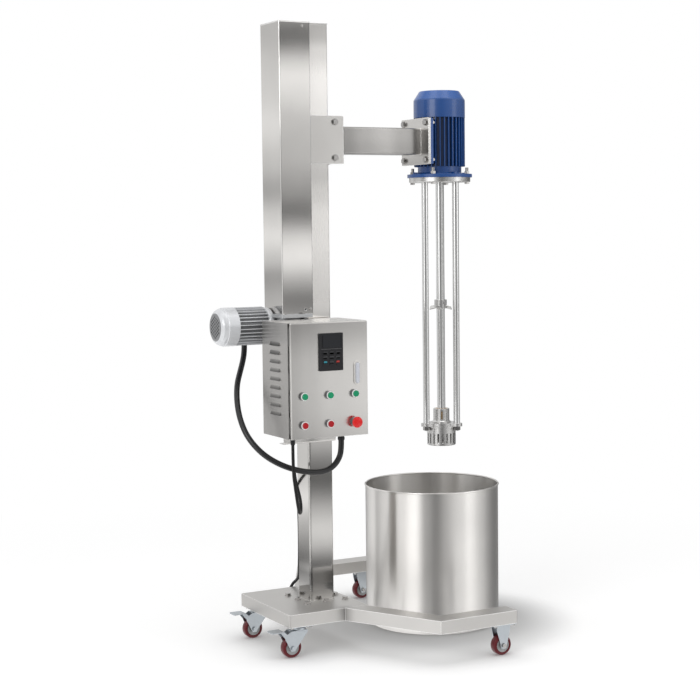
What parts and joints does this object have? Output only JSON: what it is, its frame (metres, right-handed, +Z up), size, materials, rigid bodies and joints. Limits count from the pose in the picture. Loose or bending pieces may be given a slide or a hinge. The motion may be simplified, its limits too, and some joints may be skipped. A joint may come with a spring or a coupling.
{
  "type": "high shear mixer",
  "caption": "Rotor-stator mixing head hung under a vertical flanged motor on an arm that a lift screw raises along a square column, on a wheeled fork base around an open tank",
  "frame": {"origin": "on the floor under the axis of the mixing head", "axes": "+X along the arm away from the column, +Y to the rear, away from the door of the control box, +Z up"},
  "size_m": [1.1845, 1.126, 2.303],
  "materials": {
    "frame_steel": "brushed stainless sheet",
    "box_steel": "brushed stainless sheet",
    "tank_steel": "polished stainless sheet",
    "polished_steel": "polished stainless bar",
    "head_steel": "machined stainless",
    "zinc_steel": "zinc-plated steel",
    "bolt_steel": "stainless fasteners",
    "motor_blue": "blue enamel on a cast housing",
    "fan_cowl_blue": "blue enamel on steel sheet",
    "drive_silver": "silver-grey paint on an aluminium casting",
    "gear_silver": "silver-grey paint on a casting",
    "roller_nylon": "nylon roller",
    "bronze_bush": "bronze bearing",
    "wheel_maroon": "polyurethane wheel",
    "fan_black": "moulded fan",
    "keypad_black": "keypad housing",
    "collar_grey": "button collar",
    "button_green": "button cap",
    "button_red": "button cap",
    "stop_red": "mushroom cap",
    "latch_chrome": "chromed latch lever",
    "switchgear": "mounting plate with switchgear",
    "gland_nylon": "nylon gland",
    "conduit_black": "black flexible conduit",
    "lead_rubber": "rubber-sheathed cable",
    "plug_rubber": "rubber plug"
  },
  "bodies": {
    "stand": {"base_platform": "frame_steel", "fork_leg_front": "frame_steel", "fork_leg_rear": "frame_steel", "column_tube": "frame_steel", "column_top_cap": "frame_steel", "screw_cover": "frame_steel", "stand_fasteners": "bolt_steel", "worm_gearbox": "gear_silver", "lift_motor_body": "drive_silver", "lift_motor_fan_cowl": "drive_silver", "lift_motor_terminal_box": "drive_silver", "control_box_shell": "box_steel", "box_mounting_rails": "box_steel", "box_mounting_plate": "switchgear", "cable_glands": "gland_nylon", "lift_conduit": "conduit_black", "power_lead": "lead_rubber", "power_lead_coil": "lead_rubber", "power_plug": "plug_rubber", "swivel_caster_plates": "zinc_steel", "fixed_caster_forks": "zinc_steel", "mixing_tank": "tank_steel"},
    "carriage": {"carriage_cheeks": "frame_steel", "lift_nut_block": "bronze_bush", "arm_weldment": "frame_steel", "main_motor_body": "motor_blue", "main_motor_fan_cowl": "fan_cowl_blue", "main_motor_flange": "motor_blue", "main_motor_terminal_box": "motor_blue", "carriage_fasteners": "bolt_steel", "head_adapter_plate": "head_steel", "tie_rods": "polished_steel", "head_lower_plate": "head_steel", "shaft_bush": "bronze_bush", "stator_cage": "head_steel"},
    "mixer": {"mixer_shaft": "polished_steel", "rotor_head": "head_steel", "axial_propeller": "head_steel", "motor_cooling_fan": "fan_black"},
    "screw": {"lift_screw": "bolt_steel"},
    "upper_roller": {"guide_roller_upper": "roller_nylon"},
    "lower_roller": {"guide_roller_lower": "roller_nylon"},
    "door": {"control_box_door": "box_steel", "drive_keypad": "keypad_black", "button_collars": "collar_grey"},
    "latch": {"latch_lever": "latch_chrome"},
    "green_button_left_body": {"green_button_left": "button_green"},
    "green_button_middle_body": {"green_button_middle": "button_green"},
    "green_button_right_body": {"green_button_right": "button_green"},
    "red_button_left_body": {"red_button_left": "button_red"},
    "red_button_middle_body": {"red_button_middle": "button_red"},
    "emergency_stop_body": {"emergency_stop": "stop_red"},
    "front_caster": {"caster_fork_front": "zinc_steel"},
    "front_pedal": {"brake_pedal_front": "zinc_steel"},
    "front_swivel_wheel": {"swivel_wheel_front": "wheel_maroon"},
    "front_leg_wheel": {"leg_wheel_front": "wheel_maroon"},
    "rear_caster": {"caster_fork_rear": "zinc_steel"},
    "rear_pedal": {"brake_pedal_rear": "zinc_steel"},
    "rear_swivel_wheel": {"swivel_wheel_rear": "wheel_maroon"},
    "rear_leg_wheel": {"leg_wheel_rear": "wheel_maroon"}
  },
  "joints": [
    {"name": "lift", "type": "slide", "parent": "stand", "child": "carriage", "axis": [0, 0, 1], "range_m": [-0.5, 0.28]},
    {"name": "mixer_spin", "type": "hinge", "parent": "carriage", "child": "mixer", "pos_m": [0, 0, 1.2], "axis": [0, 0, -1], "continuous": true},
    {"name": "lift_screw_spin", "type": "hinge", "parent": "stand", "child": "screw", "pos_m": [-0.666, 0, 1.5], "axis": [0, 0, 1], "range_deg": [-18060, 10140]},
    {"name": "upper_roller_turn", "type": "hinge", "parent": "carriage", "child": "upper_roller", "pos_m": [-0.4887, 0, 1.9455], "axis": [0, 1, 0], "range_deg": [-800, 1400]},
    {"name": "lower_roller_turn", "type": "hinge", "parent": "carriage", "child": "lower_roller", "pos_m": [-0.4887, 0, 1.8145], "axis": [0, 1, 0], "range_deg": [-800, 1400]},
    {"name": "front_caster_swivel", "type": "hinge", "parent": "stand", "child": "front_caster", "pos_m": [-0.72, -0.165, 0.1], "axis": [0, 0, 1], "continuous": true},
    {"name": "front_swivel_wheel_roll", "type": "hinge", "parent": "front_caster", "child": "front_swivel_wheel", "pos_m": [-0.752, -0.165, 0.0375], "axis": [0, 1, 0], "continuous": true},
    {"name": "front_brake", "type": "hinge", "parent": "front_caster", "child": "front_pedal", "pos_m": [-0.775, -0.165, 0.078], "axis": [0, -1, 0], "range_deg": [0, 18]},
    {"name": "front_leg_wheel_roll", "type": "hinge", "parent": "stand", "child": "front_leg_wheel", "pos_m": [-0.078, -0.525, 0.0375], "axis": [0, 1, 0], "continuous": true},
    {"name": "rear_caster_swivel", "type": "hinge", "parent": "stand", "child": "rear_caster", "pos_m": [-0.72, 0.165, 0.1], "axis": [0, 0, 1], "continuous": true},
    {"name": "rear_swivel_wheel_roll", "type": "hinge", "parent": "rear_caster", "child": "rear_swivel_wheel", "pos_m": [-0.752, 0.165, 0.0375], "axis": [0, 1, 0], "continuous": true},
    {"name": "rear_brake", "type": "hinge", "parent": "rear_caster", "child": "rear_pedal", "pos_m": [-0.775, 0.165, 0.078], "axis": [0, -1, 0], "range_deg": [0, 18]},
    {"name": "rear_leg_wheel_roll", "type": "hinge", "parent": "stand", "child": "rear_leg_wheel", "pos_m": [-0.078, 0.525, 0.0375], "axis": [0, 1, 0], "continuous": true},
    {"name": "door_hinge", "type": "hinge", "parent": "stand", "child": "door", "pos_m": [-0.806, -0.299, 1.021], "axis": [0, 0, -1], "range_deg": [0, 110]},
    {"name": "latch_lift", "type": "hinge", "parent": "door", "child": "latch", "pos_m": [-0.544, -0.313, 1.011], "axis": [1, 0, 0], "range_deg": [0, 60]},
    {"name": "green_button_left_press", "type": "slide", "parent": "door", "child": "green_button_left_body", "axis": [0, 1, 0], "range_m": [0, 0.004], "stiffness_N_per_m": 400},
    {"name": "green_button_middle_press", "type": "slide", "parent": "door", "child": "green_button_middle_body", "axis": [0, 1, 0], "range_m": [0, 0.004], "stiffness_N_per_m": 400},
    {"name": "green_button_right_press", "type": "slide", "parent": "door", "child": "green_button_right_body", "axis": [0, 1, 0], "range_m": [0, 0.004], "stiffness_N_per_m": 400},
    {"name": "red_button_left_press", "type": "slide", "parent": "door", "child": "red_button_left_body", "axis": [0, 1, 0], "range_m": [0, 0.004], "stiffness_N_per_m": 400},
    {"name": "red_button_middle_press", "type": "slide", "parent": "door", "child": "red_button_middle_body", "axis": [0, 1, 0], "range_m": [0, 0.004], "stiffness_N_per_m": 400},
    {"name": "emergency_stop_press", "type": "slide", "parent": "door", "child": "emergency_stop_body", "axis": [0, 1, 0], "range_m": [0, 0.004], "stiffness_N_per_m": 400}
  ],
  "couplings": [
    {"joint": "lift_screw_spin", "follows": "lift", "rad_per_m": 628.32},
    {"joint": "upper_roller_turn", "follows": "lift", "rad_per_m": -47.619},
    {"joint": "lower_roller_turn", "follows": "lift", "rad_per_m": -47.619}
  ]
}
